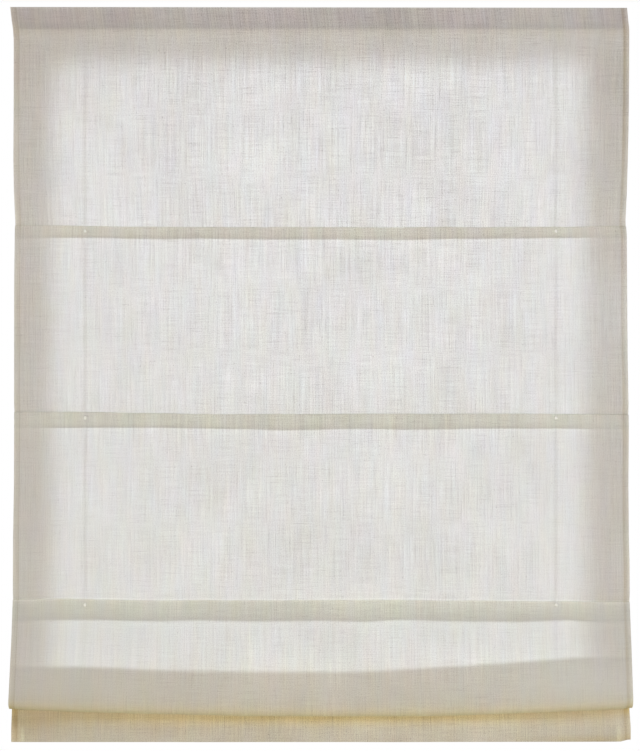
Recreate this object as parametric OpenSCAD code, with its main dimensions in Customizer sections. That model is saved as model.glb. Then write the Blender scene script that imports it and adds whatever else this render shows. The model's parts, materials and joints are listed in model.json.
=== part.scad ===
// Cordless roman blind: one linen cloth with sewn rod pockets and a bottom pleat, hung by hook-and-loop
// tape on an open-topped headrail that holds a spring motor, a lift shaft and two cord spools.
// Frame: X across the blind, Y from the room (-) to the wall (+), Z up, in millimetres.
// Origin: middle of the line between the two wall-screw holes, on the wall face of the brackets.

/* [Cloth] */
// Finished width of the cloth
cloth_w = 1000; // [700:10:1400]
// Thickness of one layer of cloth
cloth_t = 0.8; // [0.5:0.1:1]
// Width of the turned hem along each side
side_hem_w = 9; // [6:0.5:14]
// Drop from the top edge to the first rod seam
first_drop = 356; // [280:1:440]
// Drop from one rod seam to the next
rod_pitch = 304; // [240:1:380]
// Length of the top turned over to the back
top_turn = 24; // [18:1:27]
// Height that the cloth stands above the headrail
top_stand = 3; // [2.5:0.1:6]

/* [Rod pockets] */
// Depth of the first pocket below its seam
pocket_1_d = 20; // [17:1:40]
// Depth of the second pocket below its seam
pocket_2_d = 25; // [17:1:40]
// Depth of the third pocket below its seam
pocket_3_d = 33; // [17:1:40]
// Height of the hem rod's pocket above its seam
pocket_4_d = 30; // [17:1:40]
// Height over which the cloth draws back above a seam
seam_draw = 9; // [6:1:20]

/* [Bottom pleat] */
// Drop from the third seam to the bottom of the pleat
pleat_drop = 176; // [140:1:220]
// Distance that the pleat stands forward
pleat_bulge = 34; // [26:1:60]
// Radius of the pleat's rounded bottom, at mid cloth
pleat_r = 15; // [10:0.5:16]
// Height of the hem rod's pocket top above the pleat bottom
pleat_rise = 59; // [50:1:90]
// Drop from the hem rod's pocket top to the bottom edge
flap_drop = 115; // [96:1:150]
// Height of the hem pocket around the bottom bar
hem_pocket_h = 42; // [32:1:60]

/* [Rods and bar] */
// Diameter of the rods
rod_d = 5; // [4:0.5:6]
// Distance from the cloth's side edge to the end of a rod
rod_inset = 15; // [14:0.5:40]
// Length of a rod tip
rod_tip_l = 5; // [4:0.5:8]
// Height of the bottom bar
bar_h = 24; // [16:1:28]
// Thickness of the bottom bar
bar_t = 3; // [2:0.5:4]
// Distance from the cloth's side edge to the end of the bottom bar
bar_inset = 18; // [16:0.5:40]
// Length of a bottom bar end cap
bar_cap_l = 6; // [4:0.5:8]

/* [Lift cords] */
// Distance from the cloth's side edge to a lift cord
cord_inset = 117; // [112:1:200]
// Diameter of the lift cords
cord_d = 1.4; // [1:0.1:1.6]
// Diameter of a cord ring at the middle of its wire
ring_d = 9; // [8:0.5:11]
// Diameter of a cord ring's wire
ring_wire_d = 2; // [1.6:0.1:2.4]
// Distance of the rings and buttons below a rod seam
ring_drop = 8; // [6:0.5:10]
// Diameter of the buttons that hold the rings from the front
button_d = 6; // [3:0.5:8]
// Thickness of the buttons
button_t = 1.4; // [0.6:0.1:2]

/* [Headrail] */
// Distance from the cloth's side edge to the end of the headrail channel
rail_inset = 8; // [6:0.5:14]
// Height of the headrail
rail_h = 32; // [31:1:40]
// Depth of the headrail
rail_d = 46; // [46:1:56]
// Wall of the headrail
rail_wall = 1.5; // [1.2:0.1:1.8]
// Radius of the headrail's outer edges
rail_edge_r = 1.2; // [0.6:0.1:1.5]
// Width of the in-turned lips at the headrail's open top
rail_lip = 8; // [6:0.5:9]
// Gap between the wall and the back of the headrail
rail_gap = 4; // [3:0.5:8]
// Thickness of an end cap's outer plate
end_cap_t = 4; // [3:0.5:6]
// Height of the hook and loop tapes
tape_h = 20; // [12:1:24]
// Thickness of the hook tape
hook_t = 1.2; // [0.8:0.1:2]
// Thickness of the loop tape
loop_t = 1; // [0.8:0.1:2]

/* [Lift mechanism] */
// Width of the square lift shaft across its flats
shaft_w = 6; // [5:0.5:7]
// Distance from the end of the headrail channel to the end of the lift shaft
shaft_inset_x = 22; // [14:1:60]
// Distance of the shaft's centre behind the headrail's front face
shaft_inset_y = 19; // [18.5:0.5:21]
// Radius of the winding, from the shaft's centre to the middle of the cord
winding_r = 9; // [8.5:0.1:9.4]
// Width of a spool between its flanges
spool_w = 30; // [20:1:50]
// Width of the spring band
spring_w = 34; // [20:1:50]

/* [Brackets] */
// Distance from the end of the headrail channel to the middle of a bracket
bracket_inset = 62; // [36:1:70]
// Width of a bracket
bracket_w = 18; // [14:1:20]
// Thickness of the bracket strip
bracket_t = 1.6; // [1.2:0.1:2]
// Diameter of the wall-screw holes
screw_hole_d = 5; // [4:0.5:6]
// Thickness of the latch lever
latch_t = 1.8; // [1.2:0.1:2]

/* [Hidden] */
$fn = 64;

linen = "#c8c0b0";
aluminium = "#c9ccd0";
steel = "#8f9296";
white_plastic = "#f1efe8";
grey_plastic = "#d5d5d2";
cord_white = "#efece2";
glass_fibre = "#e9e6da";
spring_steel = "#6d7177";

// Clearances: flat faces that slide or seat, shafts that turn, and soft or curved faces
seat_gap = 0.3;
turn_gap = 0.06;
flat_gap = 0.1;

// Lengths and places across the blind, all from the width of the cloth
rail_l = cloth_w - 2 * rail_inset;
shaft_l = rail_l - 2 * shaft_inset_x;
rod_l = cloth_w - 2 * rod_inset;
bar_l = cloth_w - 2 * bar_inset;
cord_x = cloth_w / 2 - cord_inset;
bracket_x = rail_l / 2 - bracket_inset;

// Headrail faces
rail_top = rail_h / 2;
rail_bottom = -rail_h / 2;
rail_back_y = -rail_gap;
rail_front_y = rail_back_y - rail_d;
rail_in_bottom = rail_bottom + rail_wall;
rail_in_front_y = rail_front_y + rail_wall;
rail_in_back_y = rail_back_y - rail_wall;
lip_under = rail_top - rail_wall;
front_lip_edge = rail_in_front_y + rail_lip;
back_lip_edge = rail_in_back_y - rail_lip;
tape_drop = 3;
tape_z = rail_top - tape_drop - tape_h;

// Cloth layers, at mid cloth. A hem is two layers thick, so layers lie a hem apart
hem_t = 2 * cloth_t;
layer_pitch = hem_t + seat_gap;
turn_y = rail_front_y - hook_t - loop_t - cloth_t / 2;
front_y = turn_y - layer_pitch;
top_z = rail_top + top_stand;
pocket_d = [pocket_1_d, pocket_2_d, pocket_3_d];
seam_z = [for (i = [0 : 2]) top_z - first_drop - i * rod_pitch];
pocket_r = rod_d / 2 + seat_gap + cloth_t / 2;
tuck_y = front_y + 2 * layer_pitch;
tuck_rise = 1;
rod_y = front_y + layer_pitch + pocket_r;

// Bottom pleat, hem rod and flap
pleat_z = seam_z[2] - pleat_drop;
loop_c = [front_y - pleat_bulge + cloth_t / 2 + pleat_r, pleat_z + cloth_t / 2 + pleat_r];
leg_start = [front_y, seam_z[2] - layer_pitch / 2];
leg_v = loop_c - leg_start;
leg_angle = atan2(leg_v[1], leg_v[0]) - asin(pleat_r / norm(leg_v));
back_leg_y = loop_c[0] + pleat_r;
hem_rod_top = pleat_z + pleat_rise;
hem_rod_y = back_leg_y + pocket_r;
hem_rod_z = hem_rod_top - cloth_t / 2 - pocket_r;
hem_seam_z = hem_rod_top - pocket_4_d;
flap_y = back_leg_y + layer_pitch;
hem_z = hem_rod_top - flap_drop;
hem_r = bar_t / 2 + seat_gap + cloth_t / 2;
bar_y = flap_y + hem_r;
bar_z = hem_z + cloth_t + seat_gap;
bar_edge_r = bar_t / 2 - flat_gap;
rod_z = concat(
    [for (i = [0 : 2]) seam_z[i] - pocket_d[i] + cloth_t / 2 + pocket_r],
    [hem_rod_z]
);
rod_ys = [rod_y, rod_y, rod_y, hem_rod_y];

// Shaft, spools and cords
shaft_y = rail_front_y + shaft_inset_y;
cord_y = shaft_y - winding_r;
drum_r = winding_r - cord_d / 2 - seat_gap;
flange_rise = 2;
flange_r = winding_r + cord_d / 2 + flange_rise;
flange_t = 1.5;
journal_wall = 1.2;
journal_r = shaft_w * 0.5 * sqrt(2) + journal_wall;
journal_out = 1;
bore_w = shaft_w + 2 * flat_gap;
cheek_t = 3;
cheek_x = spool_w / 2 + flange_t + seat_gap;
cradle_base_t = 2;
nozzle_r = 3.8;
nozzle_bore_r = 2;
nozzle_l = 3;
ring_neck_w = 3;
ring_pad_h = 6;
ring_pad_t = 1;
ring_out_r = ring_d / 2 + ring_wire_d / 2;
orb_over = 0.8;
orb_r = ring_d / 2 + orb_over;
orb_taper = 0.7;
orb_h = 9;
ring_z = concat([for (i = [0 : 2]) seam_z[i] - ring_drop], [hem_rod_z]);
cord_end_z = ring_z[3] - ring_wire_d / 2 - seat_gap - orb_h;

// Spring motor
case_wall = 1.5;
spring_side_gap = 2;
case_half = spring_w / 2 + spring_side_gap;
case_front_y = rail_in_front_y + seat_gap;
case_back_y = rail_in_back_y - seat_gap;
case_bottom = rail_in_bottom;
case_below_lip = 3;
case_top = lip_under - case_below_lip;
axle_r = 2;
motor_drum_wall = 0.6;
motor_drum_r = journal_r + motor_drum_wall;
storage_drum_r = 4.4;
drum_coil_t = 1.4;
storage_coil_t = 1.1;
band_t = 0.5;
drum_out = motor_drum_r + seat_gap + drum_coil_t;
storage_out = storage_drum_r + seat_gap + storage_coil_t;
storage_y = case_back_y - case_wall - seat_gap - storage_out;

// Bracket strip, at mid strip
arm_z = rail_top + seat_gap + bracket_t / 2;
bend_r = 2;
claw_y = front_lip_edge + seat_gap + bracket_t / 2;
claw_z = lip_under - seat_gap - bracket_t / 2;
claw_reach = 5;
plate_short = 2;
plate_bottom = rail_bottom + plate_short;
latch_y = (front_lip_edge + back_lip_edge) / 2;
latch_top = lip_under - seat_gap;
latch_bottom = latch_top - latch_t;
latch_w = 10;
nose_short = 2.5;
latch_nose = back_lip_edge - latch_y + rail_lip - nose_short;
tab_short = 1;
tab_r = back_lip_edge - latch_y - seat_gap - tab_short;
rivet_r = 2;
rivet_head_r = 3.6;
rivet_head_t = 1.2;
rivet_bottom = latch_bottom - seat_gap;

// Points of an arc about c, from angle a0 to a1
function arc(c, r, a0, a1, n) = [for (i = [0 : n]) let (a = a0 + (a1 - a0) * i / n) c + r * [cos(a), sin(a)]];

// Unit normal of the line from p to q, to its left
function normal(p, q) = let (d = q - p) [-d[1], d[0]] / norm(d);

// The path moved sideways by s, with mitred corners
function beside(path, s) = [
    for (i = [0 : len(path) - 1])
        let (
            before = normal(path[max(i - 1, 0)], path[max(i, 1)]),
            after = normal(path[min(i, len(path) - 2)], path[min(i + 1, len(path) - 1)]),
            m = before + after
        )
        path[i] + m * (2 * s / (m * m))
];

function reversed(list) = [for (i = [len(list) - 1 : -1 : 0]) list[i]];

// A strip of thickness t whose middle follows a path
module strip(path, t) {
    polygon(concat(beside(path, t / 2), reversed(beside(path, -t / 2))));
}

// Extrudes a shape drawn in Y and Z along X, from x0 for a length l
module along_x(x0, l) {
    translate([x0, 0, 0]) rotate([90, 0, 90]) linear_extrude(l) children();
}

// Draws its children at +x and, mirrored, at -x
module pair(x) {
    translate([x, 0, 0]) children();
    translate([-x, 0, 0]) mirror([1, 0, 0]) children();
}

// A cylinder along X from x0, for a length l
module rod_along_x(x0, l, r) {
    translate([x0, 0, 0]) rotate([0, 90, 0]) cylinder(h = l, r = r);
}

// Middle of the cloth through one rod pocket: back behind the seam, round the rod, up and over
function pocket_path(seam, depth) = concat(
    [[front_y, seam + seam_draw], [tuck_y, seam + tuck_rise]],
    arc([rod_y, seam - depth + cloth_t / 2 + pocket_r], pocket_r, 0, -180, 12),
    arc([front_y + layer_pitch / 2, seam - layer_pitch / 2], layer_pitch / 2, 0, 180, 6)
);

// Middle of the cloth down the bottom pleat, over the hem rod, and round the bottom bar
pleat_path = concat(
    arc(loop_c, pleat_r, leg_angle + 270, 360, 16),
    [[back_leg_y, hem_seam_z]],
    arc([hem_rod_y, hem_rod_z], pocket_r, 180, 0, 12),
    [[flap_y, hem_seam_z]],
    arc([flap_y + hem_r, hem_z + cloth_t / 2 + hem_r], hem_r, 180, 360, 8),
    [[flap_y + 2 * hem_r, hem_z + bar_h + 3 * cloth_t], [flap_y + layer_pitch, hem_z + hem_pocket_h]]
);

// Middle of the whole cloth, from the turned-over top edge to the hem
cloth_path = concat(
    [[turn_y, top_z - cloth_t - layer_pitch / 2 - top_turn]],
    arc([turn_y - layer_pitch / 2, top_z - cloth_t - layer_pitch / 2], layer_pitch / 2, 0, 180, 6),
    pocket_path(seam_z[0], pocket_d[0]),
    pocket_path(seam_z[1], pocket_d[1]),
    pocket_path(seam_z[2], pocket_d[2]),
    pleat_path
);

module cloth() {
    color(linen) {
        along_x(-cloth_w / 2 + side_hem_w, cloth_w - 2 * side_hem_w) strip(cloth_path, cloth_t);
        for (x0 = [-cloth_w / 2, cloth_w / 2 - side_hem_w]) along_x(x0, side_hem_w) strip(cloth_path, hem_t);
    }
}

// Rounded outer edge of the headrail's section about c, starting at angle a
function rail_edge(c, a) = arc(c, rail_edge_r, a, a + 90, 5);

// Section of the headrail: a channel with rounded edges and lips turned in at its open top
rail_section = concat(
    rail_edge([rail_front_y + rail_edge_r, rail_bottom + rail_edge_r], 180),
    rail_edge([rail_back_y - rail_edge_r, rail_bottom + rail_edge_r], 270),
    rail_edge([rail_back_y - rail_edge_r, rail_top - rail_edge_r], 0),
    [
        [back_lip_edge, rail_top], [back_lip_edge, lip_under], [rail_in_back_y, lip_under],
        [rail_in_back_y, rail_in_bottom], [rail_in_front_y, rail_in_bottom],
        [rail_in_front_y, lip_under], [front_lip_edge, lip_under], [front_lip_edge, rail_top]
    ],
    rail_edge([rail_front_y + rail_edge_r, rail_top - rail_edge_r], 90)
);

module headrail() {
    color(aluminium) difference() {
        along_x(-rail_l / 2, rail_l) polygon(rail_section);
        for (x = [-cord_x, cord_x])
            translate([x, cord_y, rail_bottom - 1])
                cylinder(h = rail_wall + 2, r = nozzle_r + flat_gap);
    }
}

// Outline of a rectangle in Y and Z with rounded corners
function rounded(y0, y1, z0, z1, r) = concat(
    arc([y1 - r, z1 - r], r, 0, 90, 6), arc([y0 + r, z1 - r], r, 90, 180, 6),
    arc([y0 + r, z0 + r], r, 180, 270, 6), arc([y1 - r, z0 + r], r, 270, 360, 6)
);

// End cap: a rounded plate with a hollow plug that fills the channel
module end_cap() {
    plug_l = 12;
    plug_wall = 2;
    plug_r = 1;
    plate_r = 2;
    y0 = rail_in_front_y + flat_gap;
    y1 = rail_in_back_y - flat_gap;
    z0 = rail_in_bottom + flat_gap;
    z1 = lip_under - flat_gap;
    color(white_plastic) {
        along_x(rail_l / 2, end_cap_t)
            polygon(rounded(rail_front_y, rail_back_y, rail_bottom, rail_top, plate_r));
        difference() {
            along_x(rail_l / 2 - plug_l, plug_l) polygon(rounded(y0, y1, z0, z1, plug_r));
            along_x(rail_l / 2 - plug_l - 1, plug_l + 1)
                polygon(rounded(y0 + plug_wall, y1 - plug_wall, z0 + plug_wall, z1 - plug_wall, plug_r));
        }
    }
}

// Bracket strip: wall plate, arm over the headrail, and a claw under its front lip
bracket_path = concat(
    [[-bracket_t / 2, plate_bottom]],
    arc([-bracket_t / 2 - bend_r, arm_z - bend_r], bend_r, 0, 90, 6),
    arc([claw_y + bend_r, arm_z - bend_r], bend_r, 90, 180, 6),
    [[claw_y, claw_z], [claw_y - claw_reach, claw_z]]
);

module bracket() {
    color(steel) {
        difference() {
            along_x(-bracket_w / 2, bracket_w) strip(bracket_path, bracket_t);
            rotate([90, 0, 0]) cylinder(h = 3 * bracket_t, r = screw_hole_d / 2, center = true);
        }
        translate([0, latch_y, 0]) {
            translate([0, 0, rivet_bottom]) cylinder(h = arm_z - rivet_bottom, r = rivet_r);
            translate([0, 0, rivet_bottom - rivet_head_t]) cylinder(h = rivet_head_t, r = rivet_head_r);
        }
    }
}

// Latch: a lever on the bracket's rivet, with a nose under the back lip and an upturned thumb tab
module latch() {
    tab_t = 1.6;
    tab_w = 7;
    color(steel) translate([0, latch_y, latch_bottom]) {
        difference() {
            union() {
                cylinder(h = latch_t, r = latch_w / 2);
                translate([-latch_w / 2, 0, 0]) cube([latch_w, latch_nose, latch_t]);
                translate([0, -tab_w / 2, 0]) cube([tab_r, tab_w, latch_t]);
            }
            translate([0, 0, -1]) cylinder(h = latch_t + 2, r = rivet_r + turn_gap);
        }
        translate([tab_r - tab_t, -tab_w / 2, 0]) cube([tab_t, tab_w, rail_top - latch_bottom]);
    }
}

module hook_tape() {
    color(white_plastic) along_x(-rail_l / 2, rail_l)
        translate([rail_front_y - hook_t, tape_z]) square([hook_t, tape_h]);
}

module loop_tape() {
    side_margin = 3;
    l = cloth_w - 2 * (side_hem_w + side_margin);
    color(cord_white) along_x(-l / 2, l)
        translate([rail_front_y - hook_t - loop_t, tape_z]) square([loop_t, tape_h]);
}

module lift_shaft() {
    color(steel) along_x(-shaft_l / 2, shaft_l)
        translate([shaft_y - shaft_w / 2, -shaft_w / 2]) square(shaft_w);
}

// A drum with a square bore for the lift shaft, drawn about the shaft's centre
module keyed(half_l) {
    difference() {
        children();
        translate([-half_l - 1, -bore_w / 2, -bore_w / 2]) cube([2 * half_l + 2, bore_w, bore_w]);
    }
}

// Cord spool: a drum between two flanges, with journals that turn in the cradle
module spool() {
    half_l = cheek_x + cheek_t + journal_out;
    color(white_plastic) translate([0, shaft_y, 0]) keyed(half_l) union() {
        rod_along_x(-half_l, 2 * half_l, journal_r);
        rod_along_x(-spool_w / 2, spool_w, drum_r);
        for (x0 = [-spool_w / 2 - flange_t, spool_w / 2]) rod_along_x(x0, flange_t, flange_r);
    }
}

// Cradle: a base in the channel, a nozzle through its floor, and two bored cheeks
module spool_cradle() {
    cheek_half = 9;
    l = 2 * (cheek_x + cheek_t);
    color(grey_plastic) difference() {
        union() {
            translate([-l / 2, rail_in_front_y + flat_gap, rail_in_bottom])
                cube([l, rail_d - 2 * rail_wall - 2 * flat_gap, cradle_base_t]);
            for (x0 = [-cheek_x - cheek_t, cheek_x]) along_x(x0, cheek_t) union() {
                translate([shaft_y, 0]) circle(r = cheek_half);
                translate([shaft_y - cheek_half, rail_in_bottom]) square([2 * cheek_half, -rail_in_bottom]);
            }
            translate([0, cord_y, rail_bottom - nozzle_l])
                cylinder(h = rail_wall + nozzle_l + cradle_base_t, r = nozzle_r);
        }
        translate([0, shaft_y, 0]) rod_along_x(-l / 2 - 1, l + 2, journal_r + turn_gap);
        translate([0, cord_y, rail_bottom - nozzle_l - 1])
            cylinder(h = rail_wall + nozzle_l + cradle_base_t + 2, r = nozzle_bore_r);
    }
}

// Motor case: an open tray in the channel, bored for the shaft's drum and the storage axle
module motor_case() {
    out_half = case_half + case_wall;
    color(grey_plastic) difference() {
        translate([-out_half, case_front_y, case_bottom])
            cube([2 * out_half, case_back_y - case_front_y, case_top - case_bottom]);
        translate([-case_half, case_front_y + case_wall, case_bottom + case_wall])
            cube([2 * case_half, case_back_y - case_front_y - 2 * case_wall, case_top - case_bottom]);
        translate([0, shaft_y, 0]) rod_along_x(-out_half - 1, 2 * out_half + 2, journal_r + turn_gap);
        translate([0, storage_y, 0]) rod_along_x(-out_half - 1, 2 * out_half + 2, axle_r + turn_gap);
    }
}

// Output drum of the motor, keyed on the lift shaft
module motor_drum() {
    half_l = case_half + case_wall + journal_out;
    color(white_plastic) translate([0, shaft_y, 0]) keyed(half_l) union() {
        rod_along_x(-half_l, 2 * half_l, journal_r);
        rod_along_x(-case_half + seat_gap, 2 * (case_half - seat_gap), motor_drum_r);
    }
}

// Storage drum, free on its axle
module storage_drum() {
    half_l = case_half - seat_gap;
    color(white_plastic) translate([0, storage_y, 0]) difference() {
        rod_along_x(-half_l, 2 * half_l, storage_drum_r);
        rod_along_x(-half_l - 1, 2 * half_l + 2, axle_r + turn_gap);
    }
}

module storage_axle() {
    l = 2 * (case_half + case_wall);
    color(steel) translate([0, storage_y, 0]) rod_along_x(-l / 2, l, axle_r);
}

// Spring band: a coil round each drum, and the band that crosses from one to the other
module motor_spring() {
    band = [
        [shaft_y, drum_out - band_t / 2], [shaft_y + drum_out * 0.6, drum_out * 0.72],
        [storage_y - storage_out * 0.7, -storage_out * 0.62], [storage_y, band_t / 2 - storage_out]
    ];
    color(spring_steel) difference() {
        union() {
            translate([0, shaft_y, 0]) rod_along_x(-spring_w / 2, spring_w, drum_out);
            translate([0, storage_y, 0]) rod_along_x(-spring_w / 2, spring_w, storage_out);
            along_x(-spring_w / 2, spring_w) strip(band, band_t);
        }
        translate([0, shaft_y, 0]) rod_along_x(-spring_w, 2 * spring_w, motor_drum_r + seat_gap);
        translate([0, storage_y, 0]) rod_along_x(-spring_w, 2 * spring_w, storage_drum_r + seat_gap);
    }
}

// Lift cord: from the spool straight down through the nozzle and the rings to the orb
module lift_cord() {
    color(cord_white) translate([0, cord_y, cord_end_z]) cylinder(h = -cord_end_z, r = cord_d / 2, $fn = 24);
}

module rod(i) {
    color(glass_fibre) translate([0, rod_ys[i], rod_z[i]]) rod_along_x(-rod_l / 2, rod_l, rod_d / 2);
}

// Round-nosed tips on both ends of a rod
module rod_tips(i) {
    nose_r = 1.5;
    color(white_plastic) translate([0, rod_ys[i], rod_z[i]]) pair(rod_l / 2) rotate([90, 0, 90])
        rotate_extrude() polygon(concat(
            [[0, 0], [rod_d / 2, 0]],
            arc([rod_d / 2 - nose_r, rod_tip_l - nose_r], nose_r, 0, 90, 6), [[0, rod_tip_l]]
        ));
}

// Back face of the cloth at height z on the pocket of rod i, where a ring's pad seats
function pocket_back(i, z) = i == 3 ? hem_rod_y + pocket_r + cloth_t / 2 :
    let (share = (seam_z[i] + tuck_rise - z) / (seam_z[i] + tuck_rise - rod_z[i]))
    tuck_y + share * (rod_y + pocket_r - tuck_y) + cloth_t / 2 + flat_gap;

// Cord ring lying level round the cord, with a neck and a pad against the pocket's back
module ring(i) {
    pad_y = pocket_back(i, max(ring_z[i] - ring_pad_h / 2, rod_z[i])) + flat_gap;
    translate([0, cord_y, ring_z[i]]) rotate_extrude()
        translate([ring_d / 2, 0]) circle(r = ring_wire_d / 2, $fn = 32);
    translate([-ring_neck_w / 2, pad_y, ring_z[i] - ring_wire_d / 2])
        cube([ring_neck_w, cord_y - ring_d / 2 - pad_y, ring_wire_d]);
    translate([0, pad_y, ring_z[i]]) rotate([-90, 0, 0]) cylinder(h = ring_pad_t, r = ring_pad_h / 2);
}

module rings(i) {
    color(white_plastic) pair(cord_x) ring(i);
}

// Buttons on the cloth's face, in front of the rings of rod i. Below the third seam the cloth leans forward
module buttons(i) {
    lean = i == 2 ? leg_angle + 90 : 0;
    y = front_y + (leg_start[1] - ring_z[i]) * tan(lean);
    color(cord_white) pair(cord_x) translate([0, y, ring_z[i]]) rotate([90 + lean, 0, 0])
        translate([0, 0, cloth_t / 2])
        rotate_extrude() polygon(concat(
            [[0, 0], [button_d / 2, 0]],
            arc([button_d / 2 - button_t / 2, button_t / 2], button_t / 2, 0, 90, 5), [[0, button_t]]
        ));
}

// Orbs that tie off the cords below the hem rod's rings
module cord_orbs() {
    color(white_plastic) pair(cord_x) translate([0, cord_y, cord_end_z]) difference() {
        cylinder(h = orb_h, r1 = orb_r * orb_taper, r2 = orb_r);
        translate([0, 0, -1]) cylinder(h = orb_h + 2, r = cord_d / 2 + flat_gap);
    }
}

// Flat bar in the hem pocket, with rounded edges
module bottom_bar() {
    color(aluminium) along_x(-bar_l / 2, bar_l)
        polygon(rounded(bar_y - bar_t / 2, bar_y + bar_t / 2, bar_z, bar_z + bar_h, bar_edge_r));
}

module bar_caps() {
    color(white_plastic) for (x0 = [-bar_l / 2 - bar_cap_l, bar_l / 2]) along_x(x0, bar_cap_l)
        polygon(rounded(bar_y - bar_t / 2, bar_y + bar_t / 2, bar_z, bar_z + bar_h, bar_edge_r));
}

headrail();
mirror([1, 0, 0]) end_cap();  // end_cap_left
end_cap();  // end_cap_right
translate([-bracket_x, 0, 0]) bracket();  // bracket_left
translate([bracket_x, 0, 0]) bracket();  // bracket_right
translate([-bracket_x, 0, 0]) mirror([1, 0, 0]) latch();  // latch_left
translate([bracket_x, 0, 0]) latch();  // latch_right
hook_tape();
loop_tape();
lift_shaft();
translate([-cord_x, 0, 0]) spool();  // spool_left
translate([cord_x, 0, 0]) spool();  // spool_right
translate([-cord_x, 0, 0]) spool_cradle();  // spool_cradle_left
translate([cord_x, 0, 0]) spool_cradle();  // spool_cradle_right
motor_case();
motor_drum();
motor_spring();
storage_drum();
storage_axle();
translate([-cord_x, 0, 0]) lift_cord();  // lift_cord_left
translate([cord_x, 0, 0]) lift_cord();  // lift_cord_right
cloth();
rod(0);  // rod_1
rod(1);  // rod_2
rod(2);  // rod_3
rod(3);  // rod_4
rod_tips(0);  // rod_tips_1
rod_tips(1);  // rod_tips_2
rod_tips(2);  // rod_tips_3
rod_tips(3);  // rod_tips_4
rings(0);  // rings_1
rings(1);  // rings_2
rings(2);  // rings_3
rings(3);  // rings_4
buttons(0);  // buttons_1
buttons(1);  // buttons_2
buttons(2);  // buttons_3
cord_orbs();
bottom_bar();
bar_caps();
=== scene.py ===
# %% [markdown]
# # A linen roman blind
# This lesson dresses an engineering model of a roman blind for a picture. The model gives every hard
# piece and the true shape of the folded cloth. Blender adds what an engineering model leaves out: a cloth
# that hangs a little unevenly, a woven material that lets light through, and a soft light in front and
# behind. Lengths are in metres. X runs across the blind, Y from the room to the wall, and Z up.

# %% Load the model
import json
import math
import random

import bmesh
import bpy
import numpy as np
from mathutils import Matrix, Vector


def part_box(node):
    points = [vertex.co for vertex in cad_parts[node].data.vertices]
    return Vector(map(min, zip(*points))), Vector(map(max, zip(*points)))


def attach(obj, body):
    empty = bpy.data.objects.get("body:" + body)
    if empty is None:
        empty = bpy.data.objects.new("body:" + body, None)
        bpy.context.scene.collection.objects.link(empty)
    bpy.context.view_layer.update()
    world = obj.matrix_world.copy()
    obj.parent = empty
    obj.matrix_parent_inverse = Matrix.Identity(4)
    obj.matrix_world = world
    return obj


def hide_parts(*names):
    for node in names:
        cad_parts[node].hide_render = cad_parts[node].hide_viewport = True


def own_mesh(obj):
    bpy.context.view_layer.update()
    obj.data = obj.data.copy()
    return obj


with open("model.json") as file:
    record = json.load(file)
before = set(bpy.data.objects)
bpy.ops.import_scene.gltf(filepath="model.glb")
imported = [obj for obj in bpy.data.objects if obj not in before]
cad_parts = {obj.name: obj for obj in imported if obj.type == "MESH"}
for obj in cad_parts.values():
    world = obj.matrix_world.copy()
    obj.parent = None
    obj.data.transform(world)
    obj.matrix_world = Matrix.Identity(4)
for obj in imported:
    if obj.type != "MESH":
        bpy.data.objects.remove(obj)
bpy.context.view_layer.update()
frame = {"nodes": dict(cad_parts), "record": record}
nodes = frame["nodes"]
MM = 0.001
print("nodes loaded:", len(nodes))

# %% [markdown]
# ## Camera
# The photograph looks straight at the blind from across a room, at about half its height. Verticals stay
# vertical, so the camera is level. A long lens from far away could frame the same picture, but it would
# lose the slight swelling of the pleat that stands towards us, so the distance matters more than the
# lens. One pixel of the 640 x 751 picture covers a known length on the cloth, and that fixes the lens.
# The row at which the top edge lies fixes the camera's height.

# %% Camera
PICTURE_H = 751
PIXEL = 1.6273 * MM
TOP_ROW = 7.4
SENSOR_MM = 36
CAMERA_DISTANCE = 2.6
CAMERA_X = -0.0008
FACE_Y = -0.0549
cloth_low, cloth_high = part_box("cloth")
camera_data = bpy.data.cameras.new("Camera")
camera = bpy.data.objects.new("Camera", camera_data)
bpy.context.scene.collection.objects.link(camera)
bpy.context.scene.camera = camera
camera_z = cloth_high.z - (PICTURE_H / 2 - TOP_ROW) * PIXEL
camera.location = (CAMERA_X, FACE_Y - CAMERA_DISTANCE, camera_z)
camera.rotation_euler = (math.radians(90), 0, 0)
camera_data.sensor_width = SENSOR_MM
camera_data.lens = SENSOR_MM * CAMERA_DISTANCE / (PICTURE_H * PIXEL)
print("lens in mm:", round(camera_data.lens, 1))

# %% [markdown]
# ## The line of the cloth
# Seen from the side, the cloth is one long line: up from the turned-over top edge, over the headrail,
# down the face, back into a pocket behind each seam, out again, and round the pleat to the hem.
# Everything that follows is made by sweeping this line sideways. Each stretch of it becomes its own
# piece, because each moves with another rod when the blind is raised.

# %% Sizes of the cloth line
CLOTH_W = cloth_high.x - cloth_low.x
CLOTH_T = 0.8 * MM
LAYER = 1.9 * MM
FRONT_Y = -0.0545
TURN_Y = FRONT_Y + LAYER
TOP_Z = 19 * MM
TOP_TURN = 24 * MM
FIRST_DROP, PANEL_DROP = 0.356, 0.304
SEAMS = [TOP_Z - FIRST_DROP - i * PANEL_DROP for i in range(3)]
DEPTHS = [0.020, 0.025, 0.033]
DRAW = 18 * MM
DRAW_CURVE = [(0.0, 1.0), (0.04, 0.8), (0.16, 0.6), (0.37, 0.4), (0.66, 0.2), (0.86, 0.08), (1.0, 0.02)]
POCKET_R = 3.2 * MM
FREE_Z = -18 * MM
BELOW_SEAM = 2 * MM
PLEAT_DROP = 0.176
PLEAT_Z = SEAMS[2] - PLEAT_DROP
PLEAT_BULGE = 0.034
PLEAT_R = 0.015
HEM_ROD_UP, HEM_ROD_POCKET, FLAP_DROP = 0.059, 0.030, 0.115
HEM_ROD_TOP = PLEAT_Z + HEM_ROD_UP
HEM_SEAM = HEM_ROD_TOP - HEM_ROD_POCKET
HEM_Z = HEM_ROD_TOP - FLAP_DROP
HEM_R = 2.2 * MM
HEM_POCKET = 0.042
BAR_H = 0.024
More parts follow.
